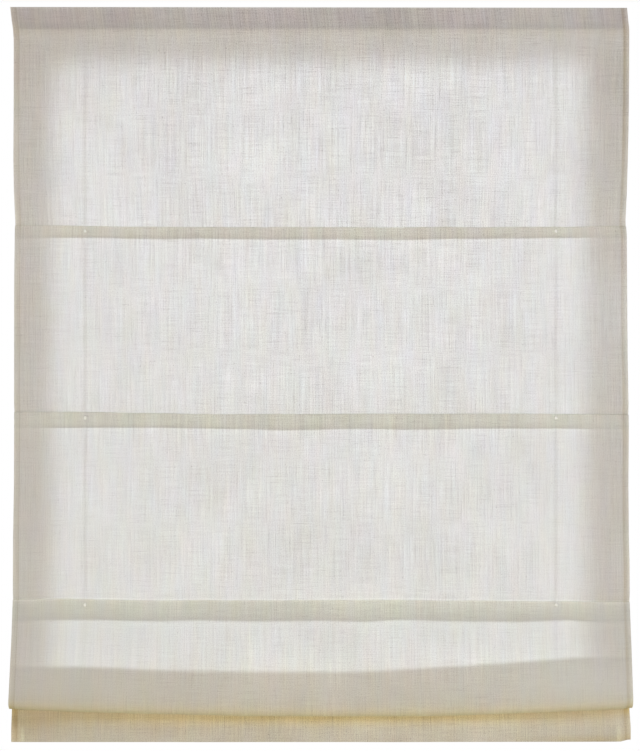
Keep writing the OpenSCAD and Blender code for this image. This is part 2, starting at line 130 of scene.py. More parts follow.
ROD_Y = FRONT_Y + LAYER + POCKET_R
print("heights of the seams in metres:", [round(seam, 3) for seam in SEAMS])

# %% [markdown]
# ## Pockets and pleat as lines
# A pocket draws the cloth back over a short stretch, runs round its rod and comes out again under the
# seam. The pleat leans forward from the last seam, turns in a round loop, climbs behind itself to a rod
# and falls to the hem, where the cloth is folded up round the bottom bar.

# %% Stretches of the line
def arc(cy, cz, r, a0, a1, n):
    angles = [math.radians(a0 + (a1 - a0) * i / n) for i in range(n + 1)]
    return [(cy + r * math.cos(a), cz + r * math.sin(a)) for a in angles]


def pocket_line(seam, depth):
    rod_z = seam - depth + CLOTH_T / 2 + POCKET_R
    line = [(FRONT_Y + back * 2 * LAYER, seam + up * DRAW) for back, up in DRAW_CURVE]
    line += arc(ROD_Y, rod_z, POCKET_R, 0, -180, 12)
    return line + arc(FRONT_Y + LAYER / 2, seam - LAYER / 2, LAYER / 2, 0, 180, 6)


def pleat_line():
    loop_y = FRONT_Y - PLEAT_BULGE + CLOTH_T / 2 + PLEAT_R
    loop_z = PLEAT_Z + CLOTH_T / 2 + PLEAT_R
    vy, vz = loop_y - FRONT_Y, loop_z - (SEAMS[2] - LAYER / 2)
    lean = math.degrees(math.atan2(vz, vy) - math.asin(PLEAT_R / math.hypot(vy, vz)))
    back_y = loop_y + PLEAT_R
    rod_z = HEM_ROD_TOP - CLOTH_T / 2 - POCKET_R
    flap_y = back_y + LAYER
    line = arc(loop_y, loop_z, PLEAT_R, lean + 270, 360, 20) + [(back_y, HEM_SEAM)]
    line += arc(back_y + POCKET_R, rod_z, POCKET_R, 180, 0, 12) + [(flap_y, HEM_SEAM)]
    line += arc(flap_y + HEM_R, HEM_Z + CLOTH_T / 2 + HEM_R, HEM_R, 180, 360, 8)
    line += [(flap_y + 2 * HEM_R, HEM_Z + BAR_H + 3 * CLOTH_T)]
    return line + [(flap_y + LAYER, HEM_Z + HEM_POCKET)]


top_arc = arc(TURN_Y - LAYER / 2, TOP_Z - CLOTH_T / 2 - LAYER / 2, LAYER / 2, 0, 180, 8)
stretches = {"head": [(TURN_Y, TOP_Z - CLOTH_T - LAYER / 2 - TOP_TURN)] + top_arc + [(FRONT_Y, FREE_Z)]}
panel_tops = [FREE_Z] + [s - BELOW_SEAM for s in SEAMS[:2]]
panel_lows = [s + DRAW for s in SEAMS]
creases = [(top + low) / 2 for top, low in zip(panel_tops, panel_lows)]
for i in range(3):
    stretches[f"panel_{i + 1}_upper"] = [(FRONT_Y, panel_tops[i]), (FRONT_Y, creases[i])]
    stretches[f"panel_{i + 1}_lower"] = [(FRONT_Y, creases[i]), (FRONT_Y, panel_lows[i])]
    after_pocket = [(FRONT_Y, SEAMS[i] - BELOW_SEAM)] if i < 2 else pleat_line()
    stretches[f"pocket_{i + 1}"] = pocket_line(SEAMS[i], DEPTHS[i]) + after_pocket
print("stretches of cloth:", list(stretches))

# %% [markdown]
# ## Spacing the rows
# A straight stretch needs few rows and a fold needs many, so the line is cut at every corner and then at
# even steps. The distance along the cloth is kept with each point. It becomes the second texture
# coordinate, so the weave runs on through seams and round folds as it does on one length of cloth. The
# distances at which the seams, the fold, the pleat and the hem lie are noted, because tints follow later.

# %% Rows of points along the line
STEP = 7 * MM


def spaced(line, start):
    points, along = [line[0]], [start]
    for (y0, z0), (y1, z1) in zip(line, line[1:]):
        length = math.hypot(y1 - y0, z1 - z0)
        if length < 1e-6:
            continue
        n = max(1, math.ceil(length / STEP))
        for i in range(1, n + 1):
            points.append((y0 + (y1 - y0) * i / n, z0 + (z1 - z0) * i / n))
            along.append(along[-1] + length / n)
    return np.array(points), np.array(along)


rows, run = {}, 0.0
for name, line in stretches.items():
    points, along = spaced(line, run)
    rows[name] = (points, along)
    run = along[-1]
CLOTH_L = run
along_at_seam = []
for i, seam in enumerate(SEAMS):
    points, along = rows[f"pocket_{i + 1}"]
    along_at_seam.append(along[np.argmax(points[:, 1] < seam)])
points, along = rows["pocket_3"]
loop_run = along[np.argmin(np.where(points[:, 0] < FRONT_Y - PLEAT_R, points[:, 1], np.inf))]
on_leg = (along > along_at_seam[2] + DEPTHS[2]) & (along < loop_run)
fold_run = along[np.argmax(np.where(on_leg, points[:, 1], -np.inf))]
hem_run = along[np.argmin(np.where(along > loop_run, points[:, 1], np.inf))]
print("length of cloth in metres:", round(CLOTH_L, 3))
print("fold, pleat and hem lie at:", round(fold_run, 3), round(loop_run, 3), round(hem_run, 3))

# %% [markdown]
# ## Columns and side hems
# Across the blind the columns run from the inner edge of the left hem, round the folded edge, over the
# face and round to the right hem. A hem is the same cloth folded back, so its columns only get a place
# further in and a small offset behind the face.

# %% Columns of points across the cloth
HALF_W = CLOTH_W / 2
SIDE_HEM = 9 * MM
HEM_GAP = 0.8 * MM
N_FACE = 112
FACE_IN = 16 * MM
EDGE_STEPS = [0.0, 0.6 * MM, 2.5 * MM, 8.4 * MM, 9.0 * MM, 9.6 * MM]
HEM_STEPS = [SIDE_HEM, SIDE_HEM * 0.6, 2.0 * MM, 0.4 * MM]
face_x = [-HALF_W + d for d in EDGE_STEPS]
face_x += list(np.linspace(-HALF_W + FACE_IN, HALF_W - FACE_IN, N_FACE))
face_x += [HALF_W - d for d in reversed(EDGE_STEPS)]
columns = [(-HALF_W + d, -HALF_W - d, HEM_GAP) for d in HEM_STEPS]
columns += [(x, x, 0.0) for x in face_x]
columns += [(HALF_W - d, HALF_W + d, HEM_GAP) for d in reversed(HEM_STEPS)]
place_x, flat_x, behind = (np.array(c) for c in zip(*columns))
print("columns:", len(columns))

# %% [markdown]
# ## How the cloth hangs
# Nothing soft hangs dead straight. The sides draw in a little at the upper seams, the pleat sags in the
# middle, the fold behind it climbs to the right, the pocket edges wander by a few millimetres, and the
# whole face ripples by about a millimetre. Each of these is a small sum of sines or a short list of
# levels, so the cloth comes out the same every time. First come the sides: a height in metres, then how
# far the left and the right edge lie from the middle, in millimetres.

# %% How the sides hang
SIDES = [
    (0.030, 501.0, 503.0), (-0.005, 501.0, 502.5), (-0.034, 499.2, 502.5), (-0.132, 499.2, 502.0),
    (-0.180, 499.6, 501.3), (-0.229, 499.8, 500.1), (-0.278, 499.0, 498.7), (-0.327, 497.0, 496.5),
    (-0.351, 497.6, 498.6), (-0.425, 498.6, 499.0), (-0.547, 498.6, 499.8), (-0.620, 498.6, 501.3),
    (-0.669, 498.6, 501.8), (-0.766, 499.0, 501.2), (-0.840, 500.4, 501.9), (-0.888, 500.6, 503.1),
    (-0.945, 500.8, 503.3), (-1.010, 500.5, 503.1), (-1.100, 501.4, 502.6), (-1.125, 502.0, 502.4),
    (-1.157, 503.1, 504.6), (-1.200, 503.0, 504.6),
]
side_levels, left_half, right_half = (np.array(c) for c in zip(*SIDES))


def half_at(x, z):
    left, right = (np.interp(-z, -side_levels, half) * MM for half in (left_half, right_half))
    return np.where(x < 0, left, right)


print("levels along the sides:", len(SIDES))

# %% [markdown]
# ## Ripples
# Slow waves run over the whole face, and finer puckers gather close to the seams, where thread draws the
# cloth in. The cloth is held flat at the buttons and at the creases where two pieces of it meet.

# %% Ripples and puckers
dice = random.Random(11)
RIPPLE_RANGES = [(2.0, 7.0), (0.4, 2.2), (0, 6.3), (0.12, 0.32)]
RIPPLES = [[dice.uniform(*limits) for limits in RIPPLE_RANGES] for _ in range(9)]
PUCKERS = [(dice.uniform(22, 58), dice.uniform(0, 6.3), dice.uniform(0.05, 0.16)) for _ in range(7)]
RIPPLE_SIZE, PUCKER_SIZE = 0.55 * MM, 0.7 * MM
PUCKER_REACH = 28 * MM
BUTTON_X, BUTTON_DROP = 0.383, 8 * MM
BUTTON_FLAT, CREASE_FLAT = 13 * MM, 20 * MM


def ripple(x, s):
    wave = sum(a * np.sin(math.tau * (fx * x + fs * s) + p) for fx, fs, p, a in RIPPLES)
    pucker = sum(a * np.sin(math.tau * f * x + p) for f, p, a in PUCKERS)
    near = sum(np.exp(-(((s - c) / PUCKER_REACH) ** 2)) for c in along_at_seam)
    return RIPPLE_SIZE * wave + PUCKER_SIZE * pucker * near


def flat_places(x, z):
    held = 0
    for seam in SEAMS:
        from_button = (np.abs(x) - BUTTON_X) ** 2 + (z - seam + BUTTON_DROP) ** 2
        held = held + np.exp(-from_button / BUTTON_FLAT ** 2)
    for crease in creases:
        held = held + np.exp(-(((z - crease) / CREASE_FLAT) ** 2))
    return 1 - held


print("ripples:", len(RIPPLES), "puckers:", len(PUCKERS))

# %% [markdown]
# ## Wandering seams and folds
# A seam is sewn by eye and a pocket sags between its stitches, so their edges wander. How far each one
# drops is given in millimetres at sixteen places across the blind, with a straight run between them. The
# pocket never drops less than its rod allows.

# %% Seams, pockets, pleat and fold
POCKET_X = [-0.481, -0.416, -0.383, -0.318, -0.253, -0.188, -0.123, -0.058]
POCKET_X += [0.007, 0.072, 0.137, 0.203, 0.268, 0.333, 0.398, 0.455]
SEAM_DROPS = [
    [-1.5, -1.0, -0.3, 0.5, 1.3, 1.5, 1.5, 1.0, 1.6, 2.1, 2.3, 0.8, 1.7, 1.0, 1.2, 0.3],
    [-1.5, -2.2, -1.7, 0.2, 0.5, 2.1, 2.3, 2.2, 1.9, 1.2, 1.0, 1.9, 1.0, 1.3, 1.9, 2.6],
    [0.3, -1.5, -1.0, 0.5, 1.6, 1.0, 1.2, 1.7, 0.5, 0.4, 0.1, 1.8, 1.9, 2.8, 2.3, 4.0],
]
POCKET_DROPS = [
    [-0.5, -0.8, -2.1, 0.2, 0.7, -0.8, 0.7, 1.3, 0.5, 0.6, 1.0, 0.7, -0.9, -0.5, -1.9, -0.5],
    [-3.0, -1.7, -2.5, -1.1, -0.9, -1.2, -0.3, 1.9, 0.7, 0.2, 2.0, 0.5, 0.1, -0.3, -0.9, -0.3],
    [0.8, 1.0, -2.6, 0.7, 0.2, -0.9, 0.8, 0.1, 0.3, 2.3, -1.1, -0.1, 0.4, 0.0, -2.6, -0.3],
]
ROD_ROOM = 0.3 * MM
SEAM_REACH = 40 * MM
SAG_ENDS, SAG_MIDDLE, SAG_WAVE = 3.0 * MM, 12.6 * MM, 0.7 * MM
SAG_ROUNDNESS = 0.8
FOLD_X = [-0.5, -0.44, -0.39, -0.34, -0.29, -0.2, -0.1, 0.0, 0.05]
FOLD_X += [0.1, 0.15, 0.2, 0.25, 0.3, 0.35, 0.4, 0.44, 0.5]
FOLD_UP = [13, 12.5, 12.5, 11, 8, 6, 5, 4.5, 4.5]
FOLD_UP += [6, 9.5, 12.5, 15, 18.5, 22, 26, 28, 28]


def sag(x):
    bow = np.clip(1 - (x / HALF_W) ** 2, 0, 1) ** SAG_ROUNDNESS
    return SAG_ENDS - SAG_MIDDLE * bow - SAG_WAVE * np.sin(9 * x + 0.6)


def fold_climb(x):
    return np.interp(x, FOLD_X, FOLD_UP) * MM


def seam_drop(x, i):
    return np.interp(x, POCKET_X, SEAM_DROPS[i]) * MM


def seams_fall(x, z):
    near = [np.clip(2 - np.abs(z - seam) / SEAM_REACH, 0, 1) for seam in SEAMS]
    return sum(seam_drop(x, i) * near[i] for i in range(3))


def pocket_droop(x, i):
    return np.maximum(np.interp(x, POCKET_X, POCKET_DROPS[i]) * MM, -ROD_ROOM - seam_drop(x, i))


print("the pleat sags by up to", round(SAG_MIDDLE / MM, 1), "mm")

# %% [markdown]
# ## Hanging each stretch
# A point of the cloth starts on the straight line and is then moved. At the head the cloth is pulled a
# little to the left and hangs lower on the right. In a pocket it droops round the rod. In front the pleat
# sags, and behind it the fold climbs while the hem stays straight on its bar, apart from a lifted corner.
# Each function also says how much of the rippling is left, because cloth round a rod or a bar lies
# calmer.

# %% How head, pockets and pleat depart
HEAD_FREE_Z, HEAD_CALM_OVER, HEAD_RISE_OVER = -0.016, 0.02, 0.035
HEAD_TILT, HEAD_SHIFT = 1.4 * MM, 4.0 * MM
CALM_IN_POCKET, CALM_AT_HEM = 0.2, 0.3
LEG_START = 2.2 * DEPTHS[2] + 0.012
FRONT_CLEAR = 1 * MM
LOOP_BELOW, CLIMB_BELOW, LIFT_BELOW = 0.06, 0.03, 0.06
FLAP_RUN = 0.20
CORNER_X, CORNER_UP = [0.1, 0.47, 0.488, 0.5], [0, 0.5, 0.6, 4]


def hang_head(x, z):
    calm = np.clip((HEAD_FREE_Z - z) / HEAD_CALM_OVER, 0, 1)
    at_top = np.clip((z - HEAD_FREE_Z) / HEAD_RISE_OVER, 0, 1)
    return x - at_top * HEAD_SHIFT, z + at_top * HEAD_TILT * (0.5 - x), calm


def hang_pocket(x, y, z, s, i):
    behind_face = (z < SEAMS[i]) & (y > FRONT_Y + 0.9 * LAYER)
    inside = behind_face & (s < along_at_seam[i] + 2.5 * DEPTHS[i])
    low = np.clip((SEAMS[i] - z) / DEPTHS[i], 0, 1)
    z = z - np.where(inside, pocket_droop(x, i) * low ** 2, 0)
    return z, np.where(inside, CALM_IN_POCKET, 1)


def hang_pleat(x, y, z, s):
    after = s > along_at_seam[2] + LEG_START
    leg = np.clip((SEAMS[2] - z) / (SEAMS[2] - PLEAT_Z), 0, 1)
    front = after & (y < FRONT_Y - FRONT_CLEAR) & (z > HEM_SEAM - LOOP_BELOW)
    on_flap = s > s.max() - FLAP_RUN
    z = z + np.where(front & ~on_flap, sag(x) * leg ** 1.5, 0)
    hem_part = on_flap | (after & ~front)
    climb_from = HEM_SEAM - CLIMB_BELOW
    up = np.clip((z - climb_from) / (HEM_ROD_TOP - climb_from), 0, 1)
    z = z + np.where(hem_part & (z > climb_from), fold_climb(x) * up ** 2, 0)
    low = np.where(hem_part & (z < HEM_SEAM), np.clip((HEM_SEAM - z) / LIFT_BELOW, 0, 1), 0)
    z = z + low * np.interp(x, CORNER_X, CORNER_UP) * MM
    return z, np.where(hem_part, CALM_AT_HEM, 1)


print("the hem's right corner lifts by", CORNER_UP[-1], "mm")

# %% [markdown]
# ## All departures together
# One function now places all rows and columns of a stretch at once. The row gives the height and depth,
# the column gives the place across, and the departures above are added. Ripples and hems move a point
# along the normal of the line, so that layers of a fold stay apart.

# %% Place every point of a stretch
def normals_of(points):
    step = np.gradient(points, axis=0)
    normal = np.stack([-step[:, 1], step[:, 0]], axis=1)
    return normal / np.maximum(np.linalg.norm(normal, axis=1, keepdims=True), 1e-9)


def hang(name, points, along):
    y = np.repeat(points[:, 0][:, None], len(place_x), axis=1)
    z = np.repeat(points[:, 1][:, None], len(place_x), axis=1)
    x = place_x[None, :] * half_at(place_x[None, :], z) / HALF_W
    s = np.repeat(along[:, None], len(place_x), axis=1)
    normal = normals_of(points)
    fall = seams_fall(x, z)
    calm = np.ones_like(y)
    if name == "head":
        x, z, calm = hang_head(x, z)
    if name.startswith("pocket"):
        z, calm = hang_pocket(x, y, z, s, int(name[-1]) - 1)
    if name == "pocket_3":
        z, calm_at_hem = hang_pleat(x, y, z, s)
        calm = calm * calm_at_hem
    z = z - fall
    off = behind[None, :] + ripple(x, s) * calm * flat_places(x, z)
    y = y + normal[:, 0][:, None] * off
    z = z + normal[:, 1][:, None] * off
    return np.stack([x, y, z], axis=-1)


print("points in the longest stretch:", len(place_x) * max(len(points) for points, _ in rows.values()))

# %% [markdown]
# ## Sweeping the line into cloth
# Each stretch starts as a flat grid, and every vertex is then sent to its place. A grid keeps its rows
# and columns in order, so texture coordinates are a matter of reading the flat place of each vertex.

# %% Cloth builder
def cloth_piece(name, body):
    points, along = rows[name]
    placed = hang(name, points, along)
    n_rows, n_cols = len(points), len(place_x)
    bm = bmesh.new()
    bmesh.ops.create_grid(bm, x_segments=n_cols - 1, y_segments=n_rows - 1, size=0.5)
    uv = bm.loops.layers.uv.new("flat")
    grid_place = {}
    for v in bm.verts:
        c = round((v.co.x + 0.5) * (n_cols - 1))
        r = round((0.5 - v.co.y) * (n_rows - 1))
        grid_place[v] = (r, c)
    for v, (r, c) in grid_place.items():
        v.co = placed[r, c]
    for face in bm.faces:
        face.smooth = True
        for loop in face.loops:
            r, c = grid_place[loop.vert]
            loop[uv].uv = (flat_x[c], along[r])
    mesh = bpy.data.meshes.new("cloth_" + name)
    bm.to_mesh(mesh)
    bm.free()
    obj = bpy.data.objects.new("cloth_" + name, mesh)
    bpy.context.scene.collection.objects.link(obj)
    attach(obj, body)
    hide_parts("cloth")
    return obj


holders = ["headrail", "rod_1", "rod_2", "bottom"]
cloth = {"head": cloth_piece("head", "headrail")}
for i in range(3):
    for half, body in (("upper", holders[i]), ("lower", holders[i + 1])):
        cloth[f"panel_{i + 1}_{half}"] = cloth_piece(f"panel_{i + 1}_{half}", body)
    cloth[f"pocket_{i + 1}"] = cloth_piece(f"pocket_{i + 1}", holders[i + 1])
print("cloth pieces:", len(cloth), "vertices:", sum(len(o.data.vertices) for o in cloth.values()))

# %% [markdown]
# ## Meshes of their own for the panels
# A raised roman blind folds each panel forward at its middle, and its two halves meet in a crease in
# front. Here the two halves of each panel are only given meshes of their own; nothing folds them.

# %% Give the panel halves meshes of their own
for i in range(3):
    top, low = (0, FRONT_Y, panel_tops[i]), (0, FRONT_Y, panel_lows[i])
    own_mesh(cloth[f"panel_{i + 1}_upper"])
    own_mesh(cloth[f"panel_{i + 1}_lower"])

# %% [markdown]
# ## Lift cords
# A cord is a thin cylinder. On the real blind it shortens above the third ring as the spool winds it in,
# and below the ring it only rises with the hem. So each cord is two pieces split at the ring: the upper one
# held by the headrail and the lower one by the bottom.

# %% Cords
CORD_SIDES = 12


def cord_piece(name, place, z_top, z_low, radius, body, node):
    bm = bmesh.new()
    sizes = {"radius1": radius, "radius2": radius, "depth": z_top - z_low}
    bmesh.ops.create_cone(bm, cap_ends=True, segments=CORD_SIDES, **sizes)
    bmesh.ops.translate(bm, vec=(place.x, place.y, (z_top + z_low) / 2), verts=bm.verts)
    for face in bm.faces:
        face.smooth = len(face.verts) == 4
    mesh = bpy.data.meshes.new(name)
    bm.to_mesh(mesh)
    bm.free()
    obj = bpy.data.objects.new(name, mesh)
    bpy.context.scene.collection.objects.link(obj)
    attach(obj, body)
    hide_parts(node)
    return obj


ring_low, ring_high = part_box("rings_3")
RING_Z = (ring_low.z + ring_high.z) / 2
cords = []
for side in ("left", "right"):
    node = f"lift_cord_{side}"
    low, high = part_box(node)
    middle, radius = (low + high) / 2, (high.x - low.x) / 2
    upper = cord_piece(f"cord_{side}_upper", middle, high.z, RING_Z, radius, "headrail", node)
    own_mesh(upper)
    lower = cord_piece(f"cord_{side}_lower", middle, RING_Z, low.z, radius, "bottom", node)
    cords += [upper, lower]
print("cord pieces:", len(cords))

# %% [markdown]
# ## Helpers for shader nodes
# A material is built from many small nodes. A few helpers keep that readable. One makes a node group with
# named sockets, one a Math node whose inputs may be numbers or other nodes, and one a bell: a soft mask
# that is 1 at a chosen value and fades on both sides of it. Two more scale a colour by a mask and
# multiply two colours.

# %% Shader node helpers
def new_group(name, ins, outs):
    group = bpy.data.node_groups.new(name, "ShaderNodeTree")
    for kind, label in ins:
        group.interface.new_socket(label, in_out="INPUT", socket_type=kind)
    for kind, label in outs:
        group.interface.new_socket(label, in_out="OUTPUT", socket_type=kind)
    return group, group.nodes.new("NodeGroupInput"), group.nodes.new("NodeGroupOutput")


def arithmetic(tree, operation, *values, clamp=False):
    node = tree.nodes.new("ShaderNodeMath")
    node.operation = operation
    node.use_clamp = clamp
    for socket, value in zip(node.inputs, values):
        if isinstance(value, (int, float)):
            socket.default_value = value
        else:
            tree.links.new(value, socket)
    return node.outputs[0]


def sum_of(tree, parts):
    total = parts[0]
    for part in parts[1:]:
        total = arithmetic(tree, "ADD", total, part)
    return total


def bell(tree, value, centre, width):
    away = arithmetic(tree, "MULTIPLY_ADD", value, 1 / width, -float(centre) / width)
    return arithmetic(tree, "POWER", 1 / math.e, arithmetic(tree, "MULTIPLY", away, away))


def weighted(tree, value, weights, offset):
    node = tree.nodes.new("ShaderNodeVectorMath")
    node.operation = "MULTIPLY_ADD"
    tree.links.new(value, node.inputs[0])
    node.inputs[1].default_value = weights
    if isinstance(offset, tuple):
        node.inputs[2].default_value = offset
    else:
        tree.links.new(offset, node.inputs[2])
    return node.outputs["Vector"]


def product(tree, a, b):
    node = tree.nodes.new("ShaderNodeVectorMath")
    node.operation = "MULTIPLY"
    tree.links.new(a, node.inputs[0])
    tree.links.new(b, node.inputs[1])
    return node.outputs["Vector"]


print("one width from its centre, a bell has fallen to", round(1 / math.e, 2))

# %% [markdown]
# ## Linen
# Linen is woven from uneven yarn. Most of its look comes from long thick places in the upright yarns and
# in the cross yarns, a fine grain, and a slow drift of tone over the whole length. Each is a noise
# texture that is stretched along the yarn: the table gives its repeats per metre across and along the
# cloth, its octaves, a shift and its strength. A slub is a thick place that only stands out where the
# noise passes a starting level.

# %% Noise for the yarns
YARNS = {
    "upright": ((640, 9), 1, 3.1, 0.455),
    "fine upright": ((1250, 30), 1, 7.7, 0.38),
    "cross": ((22, 800), 1, 1.9, 0.33),
    "grain": ((700, 700), 1, 8.4, 0.86),
    "drift": ((24, 16), 2, 5.3, 0.10),
    "patches": ((9, 8), 2, 2.6, 0.24),
}
SLUBS = {
    "long slub": ((520, 18), 9.2, 0.15, 1.1),
    "cross slub": ((24, 640), 4.4, 0.16, 1.3),
    "specks": ((300, 260), 6.7, 0.23, 3.0),
}


def stretched_noise(tree, vector, repeats, octaves, shift, gain):
    mapping = tree.nodes.new("ShaderNodeMapping")
    mapping.inputs["Scale"].default_value = (repeats[0], repeats[1], 1)
    mapping.inputs["Location"].default_value = (shift, shift * 1.7, 0)
    tree.links.new(vector, mapping.inputs["Vector"])
    noise = tree.nodes.new("ShaderNodeTexNoise")
    noise.noise_dimensions = "2D"
    noise.inputs["Scale"].default_value = 1
    noise.inputs["Detail"].default_value = octaves
    noise.inputs["Roughness"].default_value = 0.5
    tree.links.new(mapping.outputs["Vector"], noise.inputs["Vector"])
    return arithmetic(tree, "MULTIPLY", arithmetic(tree, "SUBTRACT", noise.outputs["Fac"], 0.5), gain)


def slub(tree, vector, repeats, shift, start, gain):
    thick = stretched_noise(tree, vector, repeats, 1, shift, 1.0)
    return arithmetic(tree, "MULTIPLY", arithmetic(tree, "SUBTRACT", thick, start, clamp=True), gain)


print("noises in the yarn:", len(YARNS) + len(SLUBS))

# %% [markdown]
# ## The weave as a node group
# Close up, two sine waves give the over-and-under of the single yarns and the small gaps between them.
# The group only works out numbers: how thick the yarn is at a spot, how open the weave is, how high it
# stands, and two slow drifts of colour. The material decides what to do with them. The yarn is most
# uneven at the top and at the hem, and calmer near the sides.

# %% Node group for the weave
YARN_PITCH = 0.95 * MM
YARN_WOBBLE = 9.0
CROSSING_HEIGHT = 0.22
UNEVEN_AT_TOP, UNEVEN_PER_METRE = 1.10, -0.33
CALMER_SIDES = [(-0.45, 0.20, 0.38), (0.42, 0.11, 0.34)]
HEM_UP, HEM_REACH, HEM_STRONGER = 0.02, 0.05, 0.5


def yarn_wave(tree, coordinate, wobble):
    turns = arithmetic(tree, "MULTIPLY", coordinate, math.pi / YARN_PITCH)
    return arithmetic(tree, "SINE", arithmetic(tree, "ADD", turns, wobble))


def beside_yarn(tree, wave):
    return arithmetic(tree, "SUBTRACT", 1.0, arithmetic(tree, "ABSOLUTE", wave))


weave, weave_in, weave_out = new_group(
    "Linen weave",
    [("NodeSocketVector", "Flat")],
    [("NodeSocketFloat", label) for label in ("Yarn", "Gap", "Height", "Warmth", "Greenness")],
)
flat = weave_in.outputs["Flat"]
flat_split = weave.nodes.new("ShaderNodeSeparateXYZ")
weave.links.new(flat, flat_split.inputs["Vector"])
weave.links.new(stretched_noise(weave, flat, (46, 11), 2, 4.9, 1.0), weave_out.inputs["Warmth"])
weave.links.new(stretched_noise(weave, flat, (30, 14), 2, 9.9, 1.0), weave_out.inputs["Greenness"])

parts = {name: stretched_noise(weave, flat, *values) for name, values in YARNS.items()}
parts.update({name: slub(weave, flat, *values) for name, values in SLUBS.items()})
strength = arithmetic(weave, "MULTIPLY_ADD", flat_split.outputs["Y"], UNEVEN_PER_METRE, UNEVEN_AT_TOP)
for x, half_w, calmer in CALMER_SIDES:
    near_side = bell(weave, flat_split.outputs["X"], x, half_w)
    strength = arithmetic(weave, "MULTIPLY_ADD", near_side, -calmer, strength)
at_hem = bell(weave, flat_split.outputs["Y"], hem_run - HEM_UP, HEM_REACH)
strength = arithmetic(weave, "MULTIPLY_ADD", at_hem, HEM_STRONGER, strength)
yarn_sum = arithmetic(weave, "MULTIPLY", sum_of(weave, list(parts.values())), strength)
weave.links.new(yarn_sum, weave_out.inputs["Yarn"])

across_wobble = stretched_noise(weave, flat, (240, 18), 1, 2.3, YARN_WOBBLE)
along_wobble = stretched_noise(weave, flat, (18, 240), 1, 6.1, YARN_WOBBLE)
across = yarn_wave(weave, flat_split.outputs["X"], across_wobble)
down = yarn_wave(weave, flat_split.outputs["Y"], along_wobble)
gap = arithmetic(weave, "MULTIPLY", beside_yarn(weave, across), beside_yarn(weave, down))
weave.links.new(gap, weave_out.inputs["Gap"])
crossing = arithmetic(weave, "MULTIPLY", arithmetic(weave, "MULTIPLY", across, down), CROSSING_HEIGHT)
raised = [crossing] + [parts[name] for name in ("upright", "cross", "long slub", "cross slub")]
weave.links.new(sum_of(weave, raised), weave_out.inputs["Height"])
print("weave group nodes:", len(weave.nodes))

# %% [markdown]
# ## Masks at the side hems
# The material starts with the flat coordinates of the cloth, because stitches and hems follow the cloth
# and not the room. The side hems are held by a row of small stitches, darker by their thread and by a
# painted shade. Beside the row a painted shade darkens the cloth a little, more so at the upper right, and
# a painted highlight lightens the turned edge itself. Each of these is a mask from 0 to 1.

# %% Linen: coordinates and hem masks
STITCH_IN, STITCH_HALF, STITCH_STEP, STITCH_SHARE = 8.6 * MM, 0.5 * MM, 4 * MM, 0.75
SHADE_IN, SHADE_W, EDGE_W = 7.2 * MM, 3.2 * MM, 2.6 * MM
SHADE_LEFT, SHADE_RIGHT, SHADE_UPPER_RIGHT = 0.3, 0.4, 0.5
UPPER_RIGHT_RUN, UPPER_RIGHT_REACH = 0.12, 0.15

linen = bpy.data.materials.new("Linen")
linen.use_nodes = True
tree = linen.node_tree
tree.nodes.clear()
uv_node = tree.nodes.new("ShaderNodeUVMap")
uv_node.uv_map = "flat"
weave_node = tree.nodes.new("ShaderNodeGroup")
weave_node.node_tree = weave
tree.links.new(uv_node.outputs["UV"], weave_node.inputs["Flat"])
flat_place = tree.nodes.new("ShaderNodeSeparateXYZ")
tree.links.new(uv_node.outputs["UV"], flat_place.inputs["Vector"])
across_cloth, along_cloth = flat_place.outputs["X"], flat_place.outputs["Y"]

from_middle = arithmetic(tree, "ABSOLUTE", across_cloth)
from_edge = arithmetic(tree, "ABSOLUTE", arithmetic(tree, "SUBTRACT", from_middle, HALF_W))
# the stitches are darker by their thread and by a painted shade
from_row = arithmetic(tree, "ABSOLUTE", arithmetic(tree, "SUBTRACT", from_edge, STITCH_IN))
in_row = arithmetic(tree, "LESS_THAN", from_row, STITCH_HALF)
step_part = arithmetic(tree, "FRACT", arithmetic(tree, "MULTIPLY", along_cloth, 1 / STITCH_STEP))
stitch = arithmetic(tree, "MULTIPLY", in_row, arithmetic(tree, "LESS_THAN", step_part, STITCH_SHARE))
right_side = arithmetic(tree, "GREATER_THAN", across_cloth, 0.0)
near_top = bell(tree, along_cloth, UPPER_RIGHT_RUN, UPPER_RIGHT_REACH)
right_more = arithmetic(tree, "MULTIPLY_ADD", near_top, SHADE_UPPER_RIGHT, SHADE_RIGHT)
side_share = arithmetic(tree, "MULTIPLY_ADD", right_side, right_more, SHADE_LEFT)
# painted shade beside the row of stitches, stronger at the upper right
hem_shade = arithmetic(tree, "MULTIPLY", bell(tree, from_edge, SHADE_IN, SHADE_W), side_share)
# painted highlight on the turned edge of each side hem
painted_edge_highlight = bell(tree, from_edge, 0.0, EDGE_W)
print("stitches down each side:", round(CLOTH_L / STITCH_STEP))
